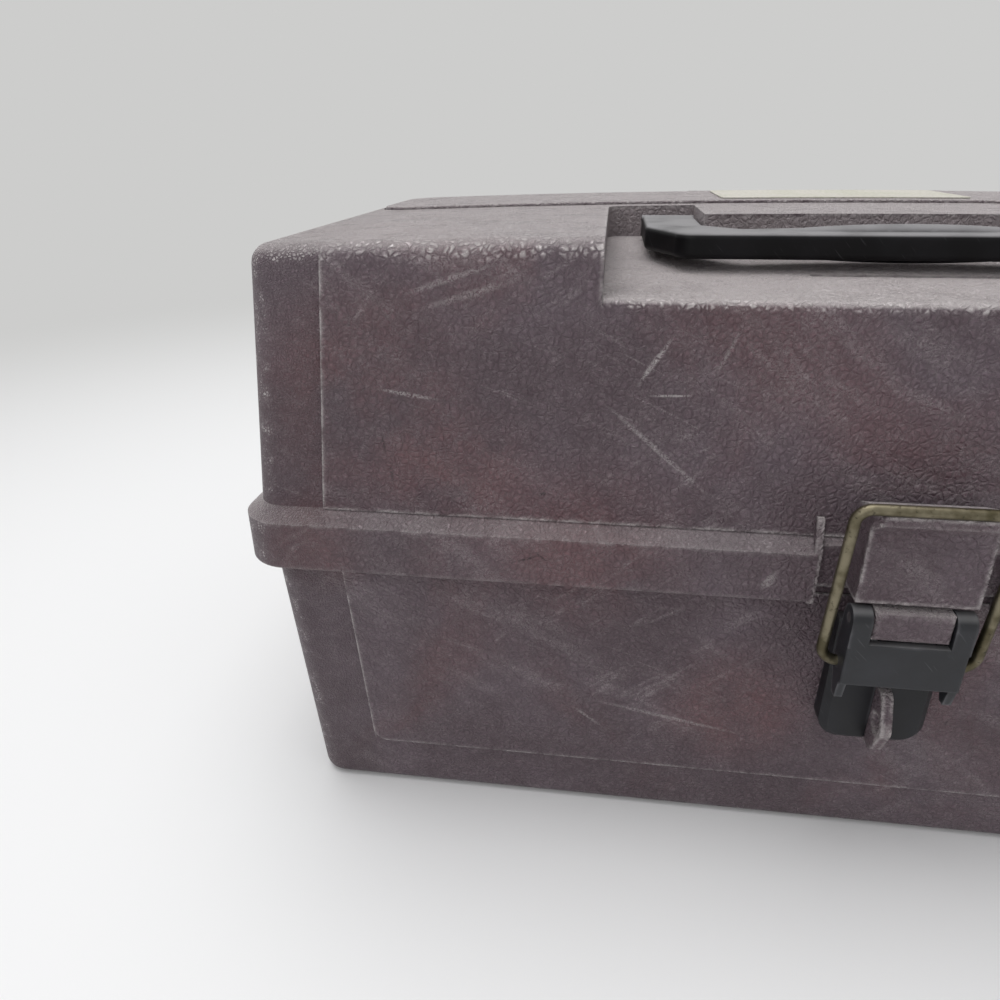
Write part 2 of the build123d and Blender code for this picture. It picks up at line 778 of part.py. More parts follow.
def make_latch_lever():
    back = lever_front + lever_plate_thickness
    outer = (-lever_half_width, lever_half_width)
    plate = block(outer, (lever_front, back), (pivot_z - lever_drop, pivot_z))
    front_edges = plate.faces().sort_by(Axis.Y)[0].edges() - plate.faces().sort_by(Axis.Z)[-1].edges()
    lever = fillet(front_edges, lever_edge_radius)
    column = (lever_knuckle_half + lever_side_gap, lever_half_width)
    column_back = pivot_y + lever_knuckle_radius
    columns = rod(lever_knuckle_radius, column, pivot_y, pivot_z)
    columns += block(column, (lever_front, column_back), (pivot_z - lever_column_drop, pivot_z))
    notch_low = pivot_z - lever_notch_drop
    notch_half = lever_knuckle_half + lever_side_gap
    notch_y = (lever_front - overrun, back + overrun)
    lever -= middle_block(notch_half, notch_y, (notch_low, pivot_z + overrun))
    cheek_back = pivot_y + cheek_back_in
    cheek_foot = pivot_y + cheek_foot_in
    hole_low = bail_hole_z - bail_hole_margin
    root = back - lever_plate_thickness / 2
    cheek_low = pivot_z - lever_cheek_drop
    cheek = [(root, pivot_z), (cheek_back, pivot_z), (cheek_back + cheek_foot_in, bail_hole_z)]
    cheek += [(cheek_back, hole_low)]
    cheek += [(cheek_foot, cheek_low), (back, cheek_low), (root, pivot_z - lever_drop)]
    columns += side_profile(cheek, (lever_half_width - lever_cheek_thickness, lever_half_width))
    lever += both_sides(columns)
    top_front = block(outer, (lever_front - overrun, pivot_y), (pivot_z, pivot_z + overrun))
    top_front -= rod(lever_knuckle_radius, outer, pivot_y, pivot_z)
    lever -= top_front
    lever -= rod(lever_pin_radius + running_clearance, outer, pivot_y, pivot_z)
    return lever - rod(wire_radius + running_clearance, outer, bail_hole_y, bail_hole_z)


def make_lever_pin():
    return rod(lever_pin_radius, (-lever_half_width, lever_half_width), pivot_y, pivot_z)


def make_latch_bail():
    # A wire bent in the plane through the lever's holes and the bar
    leg = hypot(bail_bar_y - bail_hole_y, bail_bar_z - bail_hole_z)
    lean = degrees(atan2(bail_hole_y - bail_bar_y, bail_bar_z - bail_hole_z))
    inner = lever_half_width - lever_cheek_thickness
    points = [(-inner, 0), (-bail_half_span, 0), (-bail_half_span, leg)]
    points += [(bail_half_span, leg), (bail_half_span, 0), (inner, 0)]
    radius_limit = (bail_half_span - inner) * sqrt(2) / 2
    bends = [radius_limit, bail_bend_radius, bail_bend_radius, radius_limit]
    path = FilletPolyline(*points, radius=bends)
    section = Plane(path @ 0, z_dir=path % 0) * Circle(wire_radius)
    wire = sweep(section, path=path)
    return Pos(0, bail_hole_y, bail_hole_z) * Rot(90 + lean, 0, 0) * wire


def bar_with_holes(length, hole_shares):
    outline = SlotCenterToCenter(length, arm_width)
    bar = extrude(outline, amount=arm_thickness)
    for share in hole_shares:
        hole = Cylinder(arm_rivet_radius + running_clearance, arm_width)
        bar -= Pos((share - 1 / 2) * length, 0, 0) * hole
    return bar


def make_arm(y, z, length_share, hole_shares):
    # A flat bar on the right-hand end wall, from its base pivot at (y, z) up and forward
    reach = hypot(arm_reach, arm_rise) * length_share
    tilt = degrees(atan2(arm_rise, -arm_reach))
    bar = Pos(reach / 2, 0, 0) * bar_with_holes(reach, hole_shares)
    stand = Plane(origin=(arm_inside, y, z), x_dir=(0, 1, 0), z_dir=(1, 0, 0))
    return stand * Rot(0, 0, tilt) * bar


def moving_rivet(y, z):
    inside = tray_half_length - tray_wall
    shank = rod(arm_rivet_radius, (inside - arm_rivet_head, arm_plane + arm_rivet_head), y, z)
    inner_head = rod(arm_rivet_head_radius, (inside - arm_rivet_head, inside), y, z)
    spacer = rod(arm_rivet_head_radius, (tray_half_length, arm_inside), y, z)
    outer_head = rod(arm_rivet_head_radius, (arm_plane, arm_plane + arm_rivet_head), y, z)
    return shank + inner_head + spacer + outer_head


def upper_places():
    return [(upper_pivot_y, upper_pivot_z)]


def lower_places():
    return [(lower_pivot_y, lower_pivot_z), (lower_rear_pivot_y, lower_pivot_z)]


def make_rivets(places):
    return both_sides(Part() + [moving_rivet(y, z) for y, z in places])


def rivet_holes(places):
    span = (tray_half_length - 2 * tray_wall, tray_half_length + tray_wall)
    holes = [rod(arm_rivet_radius + seat_clearance, span, y, z) for y, z in places]
    return both_sides(Part() + holes)


def lid_pins(radius):
    lean = (lid_pivot_z - lid_foot) * tan(radians(lid_draft))
    end = case_width / 2 - lean - wall
    span = (tray_half_length - tray_wall - arm_rivet_head, end)
    return both_sides(rod(radius, span, lid_pivot_y, lid_pivot_z))


def tray_rows(y_span, row_share):
    # The front and rear row of cells, either side of one moulded partition
    inner = (y_span[0] + tray_wall, y_span[1] - tray_wall)
    middle = inner[0] + (inner[1] - inner[0]) * row_share
    return [(inner[0], middle - tray_wall / 2), (middle + tray_wall / 2, inner[1])]


def divider_places(rows, row_divider_shares):
    reach = tray_half_length - tray_wall
    return [(row, share * reach) for row, shares in zip(rows, row_divider_shares) for share in shares]


def make_tray(y_span, top, row_share, row_divider_shares):
    bottom = top - tray_height
    tray = plan_prism((-tray_half_length, tray_half_length), y_span, tray_corner_radius, (bottom, top))
    reach = tray_half_length - tray_wall
    rows = tray_rows(y_span, row_share)
    for row in rows:
        inner_radius = tray_corner_radius - tray_wall
        tray -= plan_prism((-reach, reach), row, inner_radius, (bottom + tray_wall, top + overrun))
    half = divider_thickness / 2 + groove_clearance
    for row, x in divider_places(rows, row_divider_shares):
        groove = (row[0] - groove_depth, row[1] + groove_depth)
        tray -= block((x - half, x + half), groove, (bottom + tray_wall, top + overrun))
    return tray


def make_dividers(y_span, top, row_share, row_divider_shares):
    bottom = top - tray_height + tray_wall
    half = divider_thickness / 2
    tongue = groove_depth - groove_clearance
    plates = []
    for row, x in divider_places(tray_rows(y_span, row_share), row_divider_shares):
        span = (row[0] - tongue, row[1] + tongue)
        plates.append(block((x - half, x + half), span, (bottom, top - divider_drop)))
    return Part() + plates


upper_span = (upper_front, upper_rear)
lower_span = (lower_front, lower_rear)
upper_shares = (upper_front_divider_shares, upper_rear_divider_shares)
lower_shares = (lower_front_divider_shares, lower_rear_divider_shares)

base_solid = make_base_block()
upper_tray = make_tray(upper_span, upper_top, upper_row_share, upper_shares)
upper_tray -= rivet_holes(upper_places())
upper_tray -= lid_pins(arm_rivet_radius + lid_pin_clearance)
lower_tray = make_tray(lower_span, lower_top, lower_row_share, lower_shares)
lower_tray -= rivet_holes(lower_places())
front_arm = make_arm(arm_base_y, arm_base_z, 1, (0, 1 / 2, 1))
rear_arm = make_arm(rear_arm_base_y, arm_base_z, 1 / 2, (0, 1))

parts = {
    "base_shell": make_base_shell(base_solid),
    "hinge_pins": make_hinge_pins(),
    "latch_plate": make_latch_plate(base_solid),
    "latch_rivets": make_latch_rivets(),
    "padlock_lug": make_padlock_lug(base_solid),
    "lever_pin": make_lever_pin(),
    "latch_lever": make_latch_lever(),
    "latch_bail": make_latch_bail(),
    "lid_shell": make_lid_shell(),
    "handle": make_handle(),
    "handle_pins": make_handle_pins(),
    "top_cover": make_top_cover(),
    "cover_label": make_cover_label(),
    "cover_hinge_pins": cover_pins(0),
    "arm_base_rivets": make_arm_base_rivets(),
    "front_arm_right": front_arm,
    "front_arm_left": mirrored(front_arm),
    "rear_arm_right": rear_arm,
    "rear_arm_left": mirrored(rear_arm),
    "upper_tray": upper_tray,
    "upper_tray_dividers": make_dividers(upper_span, upper_top, upper_row_share, upper_shares),
    "upper_tray_rivets": make_rivets(upper_places()),
    "lid_tray_pins": lid_pins(arm_rivet_radius),
    "lower_tray": lower_tray,
    "lower_tray_dividers": make_dividers(lower_span, lower_top, lower_row_share, lower_shares),
    "lower_tray_rivets": make_rivets(lower_places()),
}

os.makedirs("parts", exist_ok=True)
for name, shape in parts.items():
    export_step(shape, f"parts/{name}.step")
    print(name, round(shape.volume), "mm3", len(shape.solids()), "solids")
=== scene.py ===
import math
import bmesh
import bpy
from mathutils import Matrix, Vector

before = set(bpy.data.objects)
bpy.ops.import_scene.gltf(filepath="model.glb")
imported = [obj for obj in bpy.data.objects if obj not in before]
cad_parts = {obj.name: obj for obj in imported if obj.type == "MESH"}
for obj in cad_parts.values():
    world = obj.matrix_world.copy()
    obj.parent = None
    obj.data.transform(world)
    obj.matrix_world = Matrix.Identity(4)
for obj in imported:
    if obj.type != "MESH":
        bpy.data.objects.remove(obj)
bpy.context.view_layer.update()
mm = 0.001
print("frame loaded:", len(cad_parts), "nodes")


def linearColour(hexText):
    # sRGB hex to the linear values that the shader sockets take
    parts = [int(hexText[i:i + 2], 16) / 255 for i in (1, 3, 5)]
    return [c / 12.92 if c <= 0.04045 else ((c + 0.055) / 1.055) ** 2.4 for c in parts] + [1.0]


def perSize(sizeMm):
    # texture scale for a pattern that repeats about every sizeMm
    return 1 / (sizeMm * mm)


def addNode(tree, kind, sockets=None, **settings):
    # one node with its settings, its values and its links
    node = tree.nodes.new(kind)
    for name, value in settings.items():
        setattr(node, name, value)
    for key, value in (sockets or {}).items():
        if isinstance(value, bpy.types.NodeSocket):
            tree.links.new(value, node.inputs[key])
        else:
            node.inputs[key].default_value = value
    return node


def newMaterial(name):
    material = bpy.data.materials.new(name)
    material.use_nodes = True
    tree = material.node_tree
    tree.nodes.clear()
    shader = addNode(tree, "ShaderNodeBsdfPrincipled")
    addNode(tree, "ShaderNodeOutputMaterial", {"Surface": shader.outputs["BSDF"]})
    return material, tree, shader


def fieldLayers(rows, fields):
    # a look's rows, with the names of their fields swapped for the fields themselves
    return [(colourName, strength, [(fields[field], none, full) for field, none, full in ranges])
            for colourName, strength, ranges in rows]


def paintLayers(tree, shader, look, layers):
    # paints each colour over the last, up to its strength, where all its ranges allow;
    # a range is a value, where it shows none of the colour and where it shows it in full
    colour = linearColour(look["body"])
    for colourName, strength, ranges in layers:
        amount = strength
        for value, none, full in ranges:
            ease = addNode(tree, "ShaderNodeMapRange",
                           {"Value": value, "From Min": none, "From Max": full, "To Max": amount},
                           interpolation_type="SMOOTHSTEP")
            amount = ease.outputs["Result"]
        mix = addNode(tree, "ShaderNodeMix",
                      {0: amount, 6: colour, 7: linearColour(look[colourName])}, data_type="RGBA")
        colour = mix.outputs[2]
    tree.links.new(colour, shader.inputs["Base Color"])


def giveRelief(tree, shader, look, height):
    # bump of the given height, over softly rounded edges where the look has them
    sockets = {"Height": height, "Strength": look["reliefStrength"],
               "Distance": look["relief"] * mm}
    if "edgeRound" in look:
        rounded = addNode(tree, "ShaderNodeBevel", {"Radius": look["edgeRound"] * mm}, samples=4)
        sockets["Normal"] = rounded.outputs["Normal"]
    bump = addNode(tree, "ShaderNodeBump", sockets)
    tree.links.new(bump.outputs["Normal"], shader.inputs["Normal"])


# Camera, from the photograph's vanishing points: place in mm, angles in degrees
cameraView = {
    "place": (-88.2, -300.4, 220.4), "yaw": 8.13, "pitch": -25.24, "roll": -0.56,
    "focalShare": 0.7599, "sensorMm": 36, "nearestMm": 10,
}


def placeCamera(view):
    yaw, pitch, roll = (math.radians(view[k]) for k in ("yaw", "pitch", "roll"))
    level = math.cos(pitch)
    ahead = Vector((-math.sin(yaw) * level, math.cos(yaw) * level, math.sin(pitch)))
    right = Vector((math.cos(yaw), math.sin(yaw), 0))
    up = right.cross(ahead)
    turnedRight = right * math.cos(roll) + up * math.sin(roll)
    turnedUp = up * math.cos(roll) - right * math.sin(roll)
    data = bpy.data.cameras.new("photoCamera")
    data.sensor_width = view["sensorMm"]
    data.lens = data.sensor_width * view["focalShare"]
    data.clip_start = view["nearestMm"] * mm
    camera = bpy.data.objects.new("photoCamera", data)
    bpy.context.collection.objects.link(camera)
    turn = Matrix((turnedRight, turnedUp, -ahead)).transposed()
    camera.matrix_world = Matrix.Translation(Vector(view["place"]) * mm) @ turn.to_4x4()
    bpy.context.scene.camera = camera


placeCamera(cameraView)
print("camera placed")


# White paper floor that fades into the pale room with distance, in metres
stageLook = {
    "halfSize": 6.0, "paper": "#efefef", "rough": 0.7, "room": "#cdcdcc", "fade": (0.3, 1.1),
}


def seenRay(tree):
    # 1 for rays that look at a surface directly, in a reflection or through glass
    ray = addNode(tree, "ShaderNodeLightPath").outputs
    seen = ray["Is Camera Ray"]
    for other in ("Is Glossy Ray", "Is Transmission Ray"):
        either = addNode(tree, "ShaderNodeMath", {0: seen, 1: ray[other]}, operation="MAXIMUM")
        seen = either.outputs["Value"]
    return seen


def makeFloor(look):
    shape = bmesh.new()
    bmesh.ops.create_grid(shape, x_segments=1, y_segments=1, size=look["halfSize"])
    mesh = bpy.data.meshes.new("paperFloor")
    shape.to_mesh(mesh)
    shape.free()
    floor = bpy.data.objects.new("paperFloor", mesh)
    bpy.context.collection.objects.link(floor)
    # uncoated background paper: matt all over, and shown in the room's own tone further off
    material, tree, shader = newMaterial("matt white paper")
    shader.inputs["Base Color"].default_value = linearColour(look["paper"])
    shader.inputs["Roughness"].default_value = look["rough"]
    place = addNode(tree, "ShaderNodeTexCoord").outputs["Object"]
    away = addNode(tree, "ShaderNodeVectorMath", {0: place}, operation="LENGTH")
    near, gone = look["fade"]
    far = addNode(tree, "ShaderNodeMapRange",
                  {"Value": away.outputs["Value"], "From Min": near, "From Max": gone,
                   "To Max": seenRay(tree)}, interpolation_type="SMOOTHSTEP")
    room = addNode(tree, "ShaderNodeEmission", {"Color": linearColour(look["room"])})
    blend = addNode(tree, "ShaderNodeMixShader",
                    {0: far.outputs["Result"], 1: shader.outputs["BSDF"],
                     2: room.outputs["Emission"]})
    tree.links.new(blend.outputs["Shader"], tree.nodes["Material Output"].inputs["Surface"])
    mesh.materials.append(material)


# Lamps: places and sizes in metres, power in watts
lampRig = {
    "overhead": {"place": (-0.4, 0.1, 2.4), "aim": (0, 0, 0.1), "size": 2.4, "power": 41},
    "frontFill": {"place": (-0.9, -1.8, 1.3), "aim": (0, 0, 0.1), "size": 2.0, "power": 11},
}


def hangLamps(rig):
    for name, lamp in rig.items():
        data = bpy.data.lights.new(name, "AREA")
        data.shape = "DISK"
        data.size = lamp["size"]
        data.energy = lamp["power"]
        light = bpy.data.objects.new(name, data)
        light.location = lamp["place"]
        light.rotation_mode = "QUATERNION"
        way = Vector(lamp["aim"]) - Vector(lamp["place"])
        light.rotation_quaternion = way.to_track_quat("-Z", "Y")
        bpy.context.collection.objects.link(light)


worldLook = {"colour": "#f2f3f5", "light": 0.47, "room": stageLook["room"]}


def lightWorld(look):
    # soft room light, shown in the room's tone where it is seen
    world = bpy.data.worlds.new("softRoom")
    bpy.context.scene.world = world
    world.use_nodes = True
    tree = world.node_tree
    tree.nodes.clear()
    light = addNode(tree, "ShaderNodeBackground",
                    {"Color": linearColour(look["colour"]), "Strength": look["light"]})
    room = addNode(tree, "ShaderNodeBackground", {"Color": linearColour(look["room"])})
    blend = addNode(tree, "ShaderNodeMixShader",
                    {0: seenRay(tree), 1: light.outputs["Background"],
                     2: room.outputs["Background"]})
    addNode(tree, "ShaderNodeOutputWorld", {"Surface": blend.outputs["Shader"]})


makeFloor(stageLook)
hangLamps(lampRig)
lightWorld(worldLook)
bpy.context.scene.view_settings.view_transform = "Standard"
print("stage and lamps ready")


# Grained case plastic, sizes and places in mm. Rows of paint are (colour, strength, ranges).
caseFinish = {
    "body": "#5b4b52", "bodyLight": "#675860", "red": "#724c4e", "ridge": "#96898d",
    "scuff": "#cfc8c7", "dustAndPaintedLight": "#c9bfc0", "paleDustAndSheen": "#e4dcdb", "smear": "#241d20",
    "paintedShade": "#2b2526",
    # pebbles in the panels and beside them, and how far their cells drift and are pushed
    "coarseGrain": 2.0, "fineGrain": 1.0, "grainBlend": 0.3, "grainDrift": 2.2, "grainPush": 1.6,
    "fibre": 1.3,
    # noises that break the marks up: (size, detail, roughness, distortion)
    "noises": {"cloud": (38, 6, 0.6, 0), "stain": (85, 5, 0.5, 0.8), "rub": (5, 6, 0.7, 0),
               "dustPatch": (18, 7, 0.65, 0), "smearPatch": (9, 5, 0.65, 0)},
    "bend": 70, "bendReach": 18, "edgeReach": 1.6, "nookReach": 4,
    # mottled body with reddish blotches, some in set places: (x, z, reach)
    "ground": [("bodyLight", 1.0, [("cloud", 0.38, 0.64)]),
               ("red", 0.45, [("stain", 0.55, 0.72)])],
    "blotches": [(-158, 152, 34), (-128, 132, 22), (-176, 106, 18), (-92, 107, 30), (60, 150, 40),
                 (-40, 50, 26)],
    "blotchStrength": 0.65, "blotchEdge": (1.3, 0.3), "blotchCloud": (0.3, 0.6),
    # painted shade darkens the creases of the grain
    "grain": [("paintedShade", 0.28, [("crease", 0.13, 0.0)]),
              ("ridge", 0.45, [("fibre", 0.08, 0.0), ("rub", 0.3, 0.7)])],
    # wiped haze: (turn in degrees, length, width, area, where it starts, strength)
    "wipes": [(24, 46, 8, 80, 0.46, 0.25), (-50, 20, 3, 55, 0.53, 0.36),
              (12, 30, 1.2, 46, 0.57, 0.45)],
    "wipeTilt": (0.5, 0.3), "wipeSoft": 0.22, "wipeArea": (0.42, 0.66), "wipeFibre": (0.13, 0.0),
    "smears": [("smear", 0.75, [("smearPatch", 0.69, 0.75)])],
    # pale scratches and dark nicks of the front: (x, z, turn in degrees, length, width, strength)
    "scratches": [(-75, 166, 57, 19, 2.0, 0.6), (-56, 169, 66, 14, 1.8, 0.3),
                  (-70, 157, 2, 14, 1.0, 0.6), (-131, 187, 18, 30, 2.4, 0.35),
                  (-126, 183, 17, 36, 3.0, 0.25), (-144, 155, -8, 22, 1.6, 0.5),
                  (-72, 141, -40, 48, 2.0, 0.38), (-38, 105, 62, 9, 4.0, 0.4),
                  (-62, 44, -11, 64, 2.0, 0.35), (-88, 41, -38, 16, 1.6, 0.35)],
    "nicks": [(-109, 107, 20, 12, 1.0, 0.8), (-104, 108, -40, 5, 0.9, 0.8),
              (-152, 140, -80, 8, 1.4, 0.6), (-150, 131, -84, 9, 1.6, 0.5)],
    "strokeEdge": (1.0, 0.3), "strokeFront": (-0.5, -0.8), "strokeFibre": (0.14, 0.02),
    # dust: a little on every ledge, more on the top, most on the recess floor, some on its walls;
    # on the top and the recess floor the pale paint is also a painted sheen
    "dustingAndPaintedLight": [
        ("dustAndPaintedLight", 0.36, [("faceZ", 0.45, 0.95), ("dustPatch", 0.05, 0.65)]),
        # the top and the recess floor: dust, and a painted sheen standing in for their low-angle
        # glare
        ("dustAndPaintedLight", 0.4, [("faceZ", 0.45, 0.95), ("height", 150, 180), ("dustPatch", 0.0, 0.62)]),
        ("paleDustAndSheen", 0.5, [("faceZ", 0.45, 0.95), ("height", 170, 178), ("height", 192, 188),
                       ("dustPatch", 0.1, 0.6)]),
        # the whole recess, its walls too, painted paler: partly dust, partly a painted fill light
        ("dustAndPaintedLight", 0.45, [("halfWay", 93, 91), ("depth", -84, -80), ("depth", 20, 18),
                        ("height", 179, 181), ("height", 198, 197)]),
    ],
    # edges rubbed pale: round tops and upright corners on the pebbles, sharp edges in short runs;
    # on the sloping shoulder the pale pebble tops are also a painted highlight
    "edges": [
        # painted highlight as well as wear: pale pebble tops on the sloping shoulder above 150 mm
        ("scuff", 0.8, [("faceZ", 0.1, 0.45), ("height", 150, 170), ("rub", 0.34, 0.62),
                        ("crease", 0.06, 0.3)]),
        ("scuff", 0.8, [("cornerTurn", 0.1, 0.4), ("rub", 0.5, 0.66), ("crease", 0.06, 0.3)]),
        ("scuff", 0.6, [("inside", 0.97, 0.65), ("rub", 0.3, 0.64)]),
    ],
    # the fine line along each side of the raised panels, and painted shade in the inner corners
    "lineStrength": 0.4, "lineFade": 2,
    "line": [("fromEdge", 0.45, 0.1), ("frontOrRear", 0.8, 0.95), ("rub", 0.25, 0.65)],
    # painted shade: occlusion darkens the inner corners and the base under the band
    "corners": [("paintedShade", 0.35, [("nook", 0.6, 0.2)])],
    # relief; the tooth is finer on a real mould and is drawn as coarse as it needs to show
    "pebbleFull": 0.3, "thread": (0.08, 0.0), "threadHeight": 0.4,
    "tooth": 0.6, "toothHeight": 0.3, "relief": 0.7, "reliefStrength": 0.8, "edgeRound": 0.9,
    "rough": (0.34, 0.52), "tops": (0.45, 0.95), "topPolish": 0.65,
    "haze": 1.0, "hazeRough": 0.25, "ior": 1.49,
}


def wrinkledGrain(tree, place, look, cellMm):
    # pebbled leather grain: the distance to the creases between distorted cells
    drift = addNode(tree, "ShaderNodeTexNoise",
                    {"Vector": place, "Scale": perSize(cellMm * look["grainDrift"]),
                     "Detail": 2.0})
    pushed = addNode(tree, "ShaderNodeVectorMath",
                     {0: drift.outputs["Color"], 1: (cellMm * mm * look["grainPush"],) * 3,
                      2: place}, operation="MULTIPLY_ADD")
    cells = addNode(tree, "ShaderNodeTexVoronoi",
                    {"Vector": pushed.outputs["Vector"], "Scale": perSize(cellMm)},
                    feature="DISTANCE_TO_EDGE")
    return cells.outputs["Distance"]


def fibreRidges(tree, place, look):
    # thin winding ridges: how far a twisted noise is from its middle value
    middle = 0.5
    field = addNode(tree, "ShaderNodeTexNoise",
                    {"Vector": place, "Scale": perSize(look["fibre"]), "Detail": 3.0,
                     "Roughness": 0.6, "Distortion": 1.4})
    side = addNode(tree, "ShaderNodeMath", {0: field.outputs["Fac"], 1: middle},
                   operation="SUBTRACT")
    away = addNode(tree, "ShaderNodeMath", {0: side.outputs["Value"]}, operation="ABSOLUTE")
    return away.outputs["Value"]


def caseFields(tree, look, panel):
    # what the paint of the case looks at: places in mm, facings, grain, noises and edges
    spot = addNode(tree, "ShaderNodeTexCoord")
    place = spot.outputs["Object"]
    inMm = addNode(tree, "ShaderNodeVectorMath", {0: place, 1: (1 / mm,) * 3},
                   operation="MULTIPLY")
    x, y, z = addNode(tree, "ShaderNodeSeparateXYZ", {0: inMm.outputs["Vector"]}).outputs
    facing = addNode(tree, "ShaderNodeSeparateXYZ", {0: spot.outputs["Normal"]})
    faceX, faceY, faceZ = facing.outputs
    frontOrRear = addNode(tree, "ShaderNodeMath", {0: faceY}, operation="ABSOLUTE")
    turn = addNode(tree, "ShaderNodeMath", {0: faceX, 1: faceY}, operation="MULTIPLY")
    cornerTurn = addNode(tree, "ShaderNodeMath", {0: turn.outputs["Value"]}, operation="ABSOLUTE")
    wall = addNode(tree, "ShaderNodeCombineXYZ", {"X": x, "Z": z})

    # how far a point lies outside the panel's leaning side edges
    lean = math.tan(math.radians(panel["lean"]))
    edgeAt = panel["half"] + panel["level"] * lean
    halfWay = addNode(tree, "ShaderNodeMath", {0: x}, operation="ABSOLUTE")
    leant = addNode(tree, "ShaderNodeMath", {0: z, 1: lean, 2: halfWay.outputs["Value"]},
                    operation="MULTIPLY_ADD")
    outside = addNode(tree, "ShaderNodeMath", {0: leant.outputs["Value"], 1: edgeAt},
                      operation="SUBTRACT")
    fromEdge = addNode(tree, "ShaderNodeMath", {0: outside.outputs["Value"]}, operation="ABSOLUTE")

    # coarse grain in the panels, finer beside them
    blend = look["grainBlend"]
    beside = addNode(tree, "ShaderNodeMapRange",
                     {"Value": outside.outputs["Value"], "From Min": -blend, "From Max": blend})
    crease = addNode(tree, "ShaderNodeMix",
                     {0: beside.outputs["Result"],
                      2: wrinkledGrain(tree, place, look, look["coarseGrain"]),
                      3: wrinkledGrain(tree, place, look, look["fineGrain"])}, data_type="FLOAT")

    # smears and wipes lie on places that are bent a little
    bend = addNode(tree, "ShaderNodeTexNoise",
                   {"Vector": place, "Scale": perSize(look["bend"]), "Detail": 1.0})
    bent = addNode(tree, "ShaderNodeVectorMath",
                   {0: bend.outputs["Color"], 1: (look["bendReach"] * mm,) * 3, 2: place},
                   operation="MULTIPLY_ADD")

    # sharp edges and inner corners
    inside = addNode(tree, "ShaderNodeAmbientOcclusion", {"Distance": look["edgeReach"] * mm},
                     inside=True, only_local=True, samples=8)
    nook = addNode(tree, "ShaderNodeAmbientOcclusion", {"Distance": look["nookReach"] * mm},
                   only_local=True, samples=8)

    fields = {
        "place": place, "bent": bent.outputs["Vector"], "wall": wall.outputs["Vector"],
        "halfWay": halfWay.outputs["Value"], "depth": y, "height": z,
        "faceY": faceY, "faceZ": faceZ, "frontOrRear": frontOrRear.outputs["Value"],
        "cornerTurn": cornerTurn.outputs["Value"], "fromEdge": fromEdge.outputs["Value"],
        "crease": crease.outputs[0], "fibre": fibreRidges(tree, place, look),
        "inside": inside.outputs["AO"], "nook": nook.outputs["AO"],
    }
    for name, (sizeMm, detail, roughness, distortion) in look["noises"].items():
        noise = addNode(tree, "ShaderNodeTexNoise",
                        {"Vector": fields["bent"] if name == "smearPatch" else place,
                         "Scale": perSize(sizeMm), "Detail": detail, "Roughness": roughness,
                         "Distortion": distortion})
        fields[name] = noise.outputs["Fac"]
    return fields


def caseLayers(tree, look, panel, fields):
    # the paint of the case from the ground up
    layers = fieldLayers(look["ground"], fields)
    outer, inner = look["blotchEdge"]
    for x, z, reach in look["blotches"]:
        gap = addNode(tree, "ShaderNodeVectorMath", {0: fields["wall"], 1: (x, 0, z)},
                      operation="DISTANCE")
        near = (gap.outputs["Value"], reach * outer, reach * inner)
        layers.append(("red", look["blotchStrength"],
                       [near, (fields["cloud"], *look["blotchCloud"])]))
    layers += fieldLayers(look["grain"], fields)

    # wiped haze: long soft strokes that lie on the fibres and come and go
    tiltX, tiltZ = look["wipeTilt"]
    for turn, longMm, wideMm, areaMm, start, strength in look["wipes"]:
        slant = addNode(tree, "ShaderNodeMapping",
                        {"Vector": fields["bent"], "Rotation": (tiltX, math.radians(turn), tiltZ),
                         "Scale": (longMm * mm, longMm * mm, wideMm * mm)}, vector_type="TEXTURE")
        stroke = addNode(tree, "ShaderNodeTexNoise",
                         {"Vector": slant.outputs["Vector"], "Scale": 1.0, "Detail": 4.0,
                          "Roughness": 0.6})
        area = addNode(tree, "ShaderNodeTexNoise",
                       {"Vector": fields["place"], "Scale": perSize(areaMm), "Detail": 2.0})
        layers.append(("dustAndPaintedLight", strength,
                       [(stroke.outputs["Fac"], start, start + look["wipeSoft"]),
                        (area.outputs["Fac"], *look["wipeArea"]),
                        (fields["fibre"], *look["wipeFibre"])]))
    layers += fieldLayers(look["smears"], fields)

    # set scratches and nicks: long ellipses on the front, broken up by the fibres
    for colourName, kind in (("scuff", "scratches"), ("smear", "nicks")):
        for x, z, turn, longMm, wideMm, strength in look[kind]:
            shrunk = addNode(tree, "ShaderNodeMapping",
                             {"Vector": fields["place"], "Location": (x * mm, 0, z * mm),
                              "Rotation": (0, -math.radians(turn), 0),
                              "Scale": (longMm / 2 * mm, 1, wideMm / 2 * mm)},
                             vector_type="TEXTURE")
            away = addNode(tree, "ShaderNodeVectorMath", {0: shrunk.outputs["Vector"]},
                           operation="LENGTH")
            layers.append((colourName, strength,
                           [(away.outputs["Value"], *look["strokeEdge"]),
                            (fields["faceY"], *look["strokeFront"]),
                            (fields["fibre"], *look["strokeFibre"])]))

    # the panel's line fades out at its ends
    low, high, fade = panel["low"], panel["high"], look["lineFade"]
    ends = [("height", low, low + fade), ("height", high, high - fade)]
    line = [("scuff", look["lineStrength"], look["line"] + ends)]
    wear = look["dustingAndPaintedLight"] + look["edges"] + line + look["corners"]
    return layers + fieldLayers(wear, fields)


